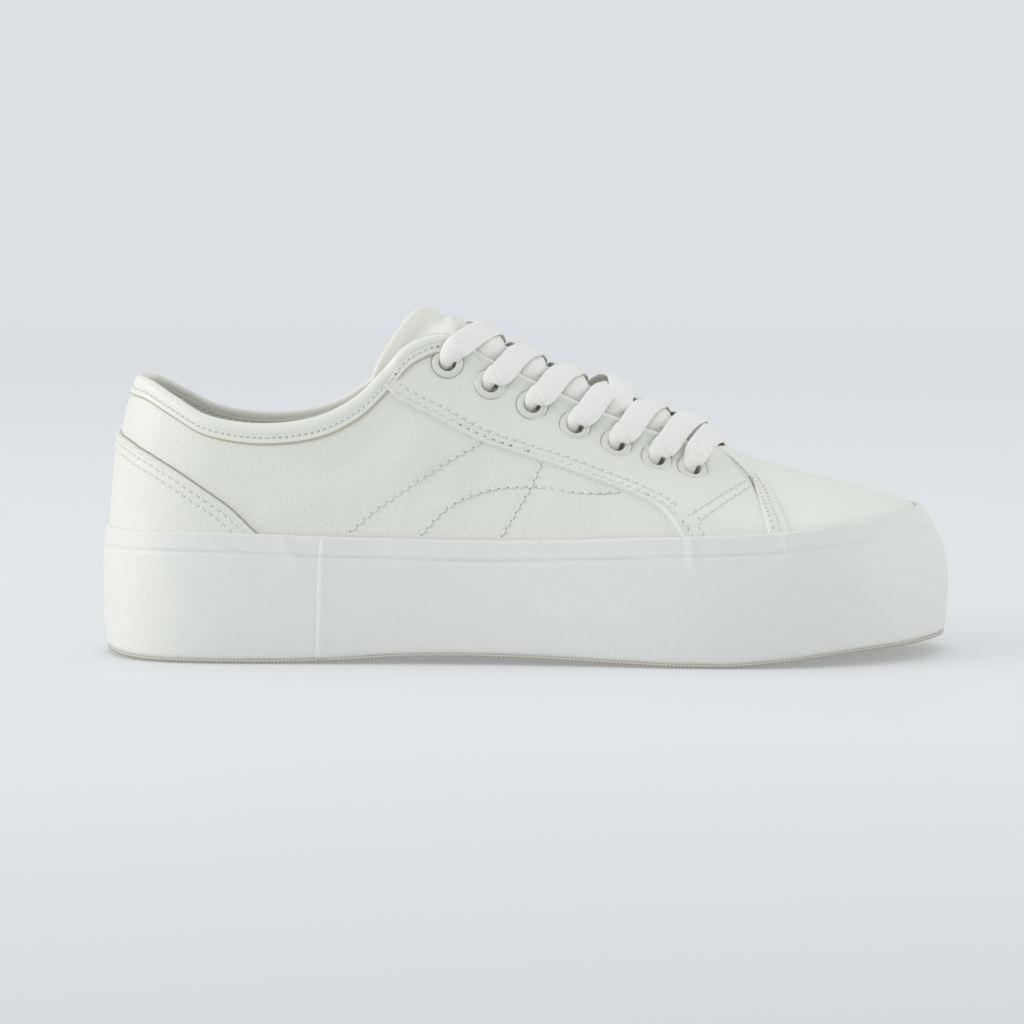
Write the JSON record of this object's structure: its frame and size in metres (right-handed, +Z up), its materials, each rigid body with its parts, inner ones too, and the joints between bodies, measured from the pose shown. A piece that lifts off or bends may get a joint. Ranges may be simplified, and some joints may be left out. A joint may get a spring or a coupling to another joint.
{
  "type": "platform sneaker",
  "caption": "Right low-top lace-up sneaker with a hollow leather upper, padded tongue and insole on a thick flat rubber platform.",
  "frame": {"origin": "centre of the bounding box's bottom face, on the floor", "axes": "+X to the toe, +Y to the medial (inner) side, +Z up"},
  "size_m": [0.2818, 0.1035, 0.116],
  "materials": {
    "tread": "off-white rubber, satin",
    "core": "off-white foam rubber",
    "foxing": "off-white rubber wrap, smooth satin",
    "lining": "cream padded textile lining",
    "leather": "off-white fine-grain leather",
    "eyelet": "off-white enamel, satin",
    "lace": "white woven cotton, flat"
  },
  "bodies": {
    "root": {"outsole": "tread", "midsole": "core", "foxing_front": "foxing", "foxing_heel": "foxing", "insole": "lining", "upper": "leather", "heel_counter": "leather", "tongue": "leather", "eyelet_lateral_1": "eyelet", "eyelet_lateral_2": "eyelet", "eyelet_lateral_3": "eyelet", "eyelet_lateral_4": "eyelet", "eyelet_lateral_5": "eyelet", "eyelet_lateral_6": "eyelet", "eyelet_lateral_7": "eyelet", "eyelet_medial_1": "eyelet", "eyelet_medial_2": "eyelet", "eyelet_medial_3": "eyelet", "eyelet_medial_4": "eyelet", "eyelet_medial_5": "eyelet", "eyelet_medial_6": "eyelet", "eyelet_medial_7": "eyelet", "lace": "lace"}
  },
  "joints": []
}
